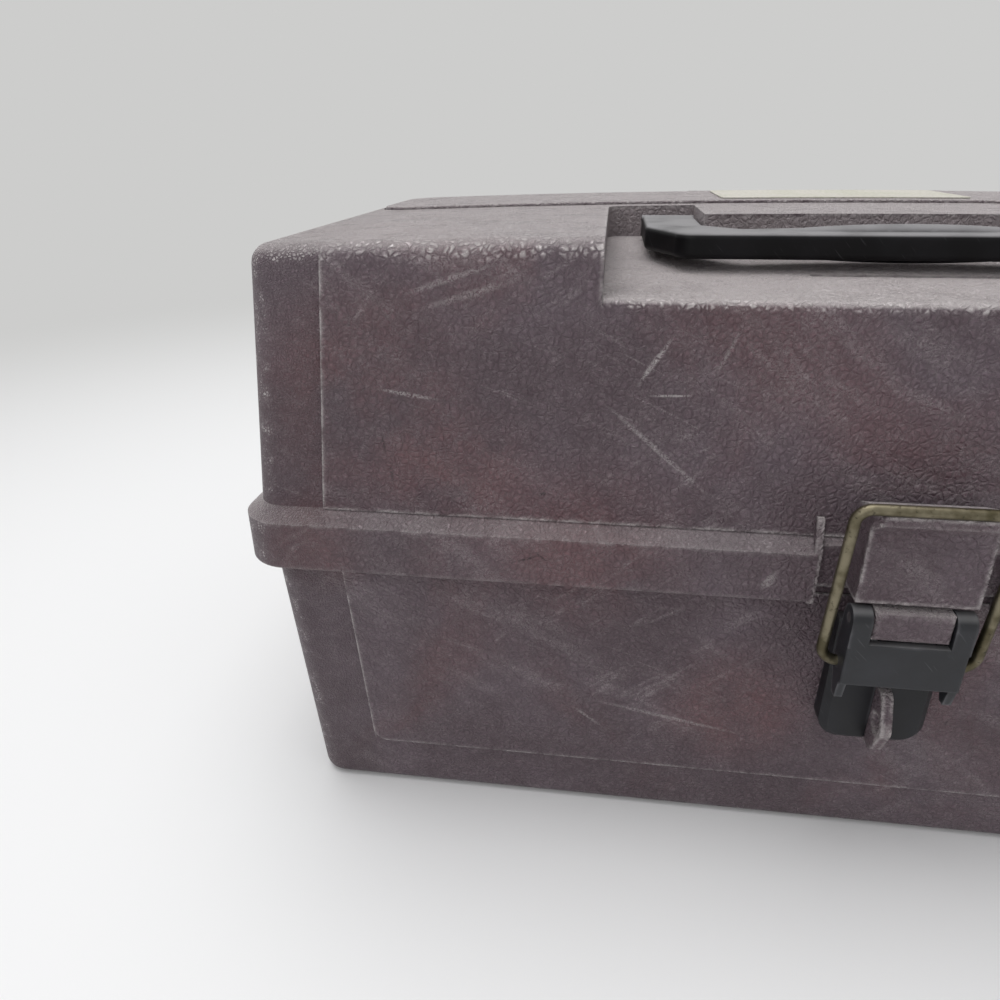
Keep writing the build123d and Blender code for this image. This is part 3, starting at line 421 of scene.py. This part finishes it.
def makeCasePlastic(name, look, panel):
    # moulded polypropylene from a leather-grained tool: satin, mottled, rubbed pale on its edges
    material, tree, shader = newMaterial(name)
    fields = caseFields(tree, look, panel)
    paintLayers(tree, shader, look, caseLayers(tree, look, panel, fields))

    # relief of the grain, its fibres and a fine tooth
    pebble = addNode(tree, "ShaderNodeMapRange",
                     {"Value": fields["crease"], "From Max": look["pebbleFull"]},
                     interpolation_type="SMOOTHSTEP")
    none, full = look["thread"]
    thread = addNode(tree, "ShaderNodeMapRange",
                     {"Value": fields["fibre"], "From Min": none, "From Max": full,
                      "To Max": look["threadHeight"]}, interpolation_type="SMOOTHSTEP")
    tooth = addNode(tree, "ShaderNodeTexNoise",
                    {"Vector": fields["place"], "Scale": perSize(look["tooth"]), "Detail": 2.0})
    woven = addNode(tree, "ShaderNodeMath",
                    {0: pebble.outputs["Result"], 1: thread.outputs["Result"]}, operation="ADD")
    height = addNode(tree, "ShaderNodeMath",
                     {0: tooth.outputs["Fac"], 1: look["toothHeight"], 2: woven.outputs["Value"]},
                     operation="MULTIPLY_ADD")
    giveRelief(tree, shader, look, height.outputs["Value"])

    # tops are smoother, and fine dust on them pales them at a low angle
    smooth, coarse = look["rough"]
    side, top = look["tops"]
    satin = addNode(tree, "ShaderNodeMapRange",
                    {"Value": fields["dustPatch"], "To Min": smooth, "To Max": coarse})
    polish = addNode(tree, "ShaderNodeMapRange",
                     {"Value": fields["faceZ"], "From Min": side, "From Max": top, "To Min": 1.0,
                      "To Max": look["topPolish"]}, interpolation_type="SMOOTHSTEP")
    rough = addNode(tree, "ShaderNodeMath",
                    {0: satin.outputs["Result"], 1: polish.outputs["Result"]},
                    operation="MULTIPLY")
    haze = addNode(tree, "ShaderNodeMapRange",
                   {"Value": fields["faceZ"], "From Min": side, "From Max": top,
                    "To Max": look["haze"]}, interpolation_type="SMOOTHSTEP")
    tree.links.new(rough.outputs["Value"], shader.inputs["Roughness"])
    tree.links.new(haze.outputs["Result"], shader.inputs["Sheen Weight"])
    shader.inputs["Sheen Roughness"].default_value = look["hazeRough"]
    shader.inputs["Sheen Tint"].default_value = linearColour(look["paleDustAndSheen"])
    shader.inputs["IOR"].default_value = look["ior"]
    return material


# Raised panels of each shell in mm: half-width at a level, lean of the sides in degrees,
# lowest and highest point. The cover has none, so its half-width lies far beyond its ends.
casePanels = {
    "grained polypropylene, lid": {"half": 172.5, "level": 118, "lean": 4,
                                   "low": 118, "high": 195},
    "grained polypropylene, base": {"half": 169.5, "level": 98, "lean": -3.2,
                                    "low": 20, "high": 98},
    "grained polypropylene, cover": {"half": 400, "level": 198, "lean": 0, "low": 0, "high": 1},
}

# Black plastics: what they share, then their own colours, dust and shine. Sizes are in mm,
# and the tooth is finer on a real mould and is drawn as coarse as it needs to show.
blackShared = {
    "cloud": 16, "hairline": (9, 6, 0.5), "hairlineTurn": (0.6, 0.66, 0.42), "edgeReach": 1.2,
    "under": [("grey", 1.0, [("cloud", 0.4, 0.7)]), ("scuff", 0.15, [("lines", 0.7, 0.78)])],
    "dustOn": [("faceZ", 0.5, 0.95), ("cloud", 0.0, 0.6)],
    "edges": [("scuff", 0.5, [("inside", 0.9, 0.55), ("cloud", 0.4, 0.65)])],
    "tooth": 0.7, "relief": 0.06, "reliefStrength": 0.35, "edgeRound": 0.5,
    "rough": (0.34, 0.56), "ior": 1.54,
}
blackFinishes = {
    "satin black ABS": {"body": "#09080a", "grey": "#141316", "dustAndPaintedLight": "#b3b1b3", "dusty": 0.55,
                        "scuff": "#6c6b6e", "shine": 0.15},
    "blue black ABS": {"body": "#1a1b1f", "grey": "#26272c", "dustAndPaintedLight": "#8f8e8f", "dusty": 0.5,
                       "scuff": "#77767a", "shine": 0.4},
    "matt black ABS": {"body": "#111114", "grey": "#1b1b1f", "dustAndPaintedLight": "#7b7a7c", "dusty": 0.5,
                       "scuff": "#626166", "shine": 0.3},
}


def makeBlackPlastic(name, look):
    # moulded ABS from a spark-eroded tool: satin, dusty on top with a painted sheen there, with a
    # few hairline scratches
    material, tree, shader = newMaterial(name)
    spot = addNode(tree, "ShaderNodeTexCoord")
    place = spot.outputs["Object"]
    facing = addNode(tree, "ShaderNodeSeparateXYZ", {0: spot.outputs["Normal"]})
    cloud = addNode(tree, "ShaderNodeTexNoise",
                    {"Vector": place, "Scale": perSize(look["cloud"]), "Detail": 5.0})
    comb = addNode(tree, "ShaderNodeMapping",
                   {"Vector": place, "Rotation": look["hairlineTurn"],
                    "Scale": [size * mm for size in look["hairline"]]}, vector_type="TEXTURE")
    lines = addNode(tree, "ShaderNodeTexNoise",
                    {"Vector": comb.outputs["Vector"], "Scale": 1.0, "Detail": 1.0})
    inside = addNode(tree, "ShaderNodeAmbientOcclusion", {"Distance": look["edgeReach"] * mm},
                     inside=True, only_local=True, samples=8)
    fields = {"cloud": cloud.outputs["Fac"], "lines": lines.outputs["Fac"],
              "faceZ": facing.outputs["Z"], "inside": inside.outputs["AO"]}
    # pale paint on the tops: dust, and partly a painted sheen
    rows = look["under"] + [("dustAndPaintedLight", look["dusty"], look["dustOn"])] + look["edges"]
    paintLayers(tree, shader, look, fieldLayers(rows, fields))
    tooth = addNode(tree, "ShaderNodeTexNoise",
                    {"Vector": place, "Scale": perSize(look["tooth"]), "Detail": 2.0})
    giveRelief(tree, shader, look, tooth.outputs["Fac"])
    smooth, coarse = look["rough"]
    rough = addNode(tree, "ShaderNodeMapRange",
                    {"Value": fields["cloud"], "To Min": smooth, "To Max": coarse})
    tree.links.new(rough.outputs["Result"], shader.inputs["Roughness"])
    shader.inputs["IOR"].default_value = look["ior"]
    shader.inputs["Specular IOR Level"].default_value = look["shine"]
    return material


# Metals: what they share, then their own colours, patches and roughness. Sizes are in mm,
# and the tooth is finer on real metal and is drawn as coarse as it needs to show.
metalShared = {
    "layers": [("dull", 1.0, [("patch", 0.35, 0.62)]), ("spot", 0.7, [("spots", 0.6, 0.72)])],
    "spotShare": 0.2, "tooth": 0.5, "relief": 0.05, "reliefStrength": 0.25,
}
metalFinishes = {
    "tarnished brass plated wire": {"body": "#827b68", "dull": "#585240", "spot": "#322e25",
                                    "patch": 6, "rough": (0.34, 0.58)},
    "zinc plated steel": {"body": "#c9cacb", "dull": "#9b9c9e", "spot": "#6d6a66",
                          "patch": 3, "rough": (0.25, 0.42)},
    "rolled aluminium strip": {"body": "#d0d1d2", "dull": "#adaeb0", "spot": "#8a8a8c",
                               "patch": 9, "rough": (0.3, 0.45)},
}


def makeMetal(name, look):
    # plated or rolled metal: bright where it is rubbed, with dull patches and small dark spots
    material, tree, shader = newMaterial(name)
    place = addNode(tree, "ShaderNodeTexCoord").outputs["Object"]
    patch = addNode(tree, "ShaderNodeTexNoise",
                    {"Vector": place, "Scale": perSize(look["patch"]), "Detail": 5.0})
    spotMm = look["patch"] * look["spotShare"]
    spots = addNode(tree, "ShaderNodeTexNoise",
                    {"Vector": place, "Scale": perSize(spotMm), "Detail": 3.0})
    fields = {"patch": patch.outputs["Fac"], "spots": spots.outputs["Fac"]}
    paintLayers(tree, shader, look, fieldLayers(look["layers"], fields))
    tooth = addNode(tree, "ShaderNodeTexNoise",
                    {"Vector": place, "Scale": perSize(look["tooth"]), "Detail": 2.0})
    giveRelief(tree, shader, look, tooth.outputs["Fac"])
    smooth, coarse = look["rough"]
    rough = addNode(tree, "ShaderNodeMapRange",
                    {"Value": fields["patch"], "To Min": smooth, "To Max": coarse})
    tree.links.new(rough.outputs["Result"], shader.inputs["Roughness"])
    shader.inputs["Metallic"].default_value = 1.0
    return material


# Tray plastic, sizes in mm; the tooth is drawn as coarse as it needs to show
trayFinish = {
    "body": "#b2a58f", "light": "#c3b8a5", "stain": "#7d7060",
    "cloud": 35, "mark": 11, "nookReach": 6,
    "layers": [("light", 1.0, [("cloud", 0.35, 0.65)]), ("stain", 0.55, [("marks", 0.6, 0.74)]),
               # painted shade: the stain colour darkens the inner corners of the cells
               ("stain", 0.5, [("nook", 0.7, 0.25)])],
    "tooth": 0.8, "relief": 0.05, "reliefStrength": 0.2, "edgeRound": 0.4,
    "rough": (0.28, 0.5), "ior": 1.55,
}


def makeTrayPlastic(name, look):
    # moulded polystyrene: half gloss, rubbed, a few stains, and painted shade in the corners of
    # the cells
    material, tree, shader = newMaterial(name)
    place = addNode(tree, "ShaderNodeTexCoord").outputs["Object"]
    cloud = addNode(tree, "ShaderNodeTexNoise",
                    {"Vector": place, "Scale": perSize(look["cloud"]), "Detail": 4.0})
    marks = addNode(tree, "ShaderNodeTexNoise",
                    {"Vector": place, "Scale": perSize(look["mark"]), "Detail": 6.0,
                     "Roughness": 0.65})
    nook = addNode(tree, "ShaderNodeAmbientOcclusion", {"Distance": look["nookReach"] * mm},
                   only_local=True, samples=8)
    fields = {"cloud": cloud.outputs["Fac"], "marks": marks.outputs["Fac"],
              "nook": nook.outputs["AO"]}
    paintLayers(tree, shader, look, fieldLayers(look["layers"], fields))
    tooth = addNode(tree, "ShaderNodeTexNoise",
                    {"Vector": place, "Scale": perSize(look["tooth"]), "Detail": 2.0})
    giveRelief(tree, shader, look, tooth.outputs["Fac"])
    smooth, coarse = look["rough"]
    rough = addNode(tree, "ShaderNodeMapRange",
                    {"Value": fields["marks"], "To Min": smooth, "To Max": coarse})
    tree.links.new(rough.outputs["Result"], shader.inputs["Roughness"])
    shader.inputs["IOR"].default_value = look["ior"]
    return material


# Label film, sizes in mm
labelFinish = {
    "body": "#c3bfb5", "green": "#bab9a9", "speck": "#615e52", "pale": "#d8d4ca",
    "cloud": 22, "fleck": 1.6,
    "layers": [("green", 1.0, [("cloud", 0.4, 0.62)]), ("pale", 0.6, [("fleck", 0.55, 0.42)]),
               ("speck", 0.75, [("fleck", 0.6, 0.7)])],
    "relief": 0.1, "reliefStrength": 0.4, "rough": 0.55,
}


def makeLabelFilm(name, look):
    # faded vinyl film, bare of print: cream with a greenish cast, rubbed through in fine specks
    material, tree, shader = newMaterial(name)
    place = addNode(tree, "ShaderNodeTexCoord").outputs["Object"]
    cloud = addNode(tree, "ShaderNodeTexNoise",
                    {"Vector": place, "Scale": perSize(look["cloud"]), "Detail": 4.0})
    fleck = addNode(tree, "ShaderNodeTexNoise",
                    {"Vector": place, "Scale": perSize(look["fleck"]), "Detail": 4.0,
                     "Roughness": 0.7})
    fields = {"cloud": cloud.outputs["Fac"], "fleck": fleck.outputs["Fac"]}
    paintLayers(tree, shader, look, fieldLayers(look["layers"], fields))
    giveRelief(tree, shader, look, fields["fleck"])
    shader.inputs["Roughness"].default_value = look["rough"]
    return material


finishes = {name: makeCasePlastic(name, caseFinish, panel) for name, panel in casePanels.items()}
finishes["beige polystyrene"] = makeTrayPlastic("beige polystyrene", trayFinish)
finishes["faded vinyl film"] = makeLabelFilm("faded vinyl film", labelFinish)
for name, look in blackFinishes.items():
    finishes[name] = makeBlackPlastic(name, blackShared | look)
for name, look in metalFinishes.items():
    finishes[name] = makeMetal(name, metalShared | look)
print("finishes made:", len(finishes))

# What each piece wears; pins and rivets take the zinc
wearers = {
    "grained polypropylene, lid": ["lid_shell"],
    "grained polypropylene, base": ["base_shell", "padlock_lug"],
    "grained polypropylene, cover": ["top_cover"],
    "satin black ABS": ["handle"],
    "blue black ABS": ["latch_lever"],
    "matt black ABS": ["latch_plate"],
    "beige polystyrene": ["upper_tray", "upper_tray_dividers", "lower_tray",
                          "lower_tray_dividers"],
    "faded vinyl film": ["cover_label"],
    "tarnished brass plated wire": ["latch_bail"],
    "rolled aluminium strip": ["front_arm_right", "front_arm_left", "rear_arm_right",
                               "rear_arm_left"],
}
dressed = {node: finish for finish, nodes in wearers.items() for node in nodes}
for name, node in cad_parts.items():
    node.data.materials.clear()
    node.data.materials.append(finishes[dressed.get(name, "zinc plated steel")])
print("nodes dressed:", len(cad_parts))
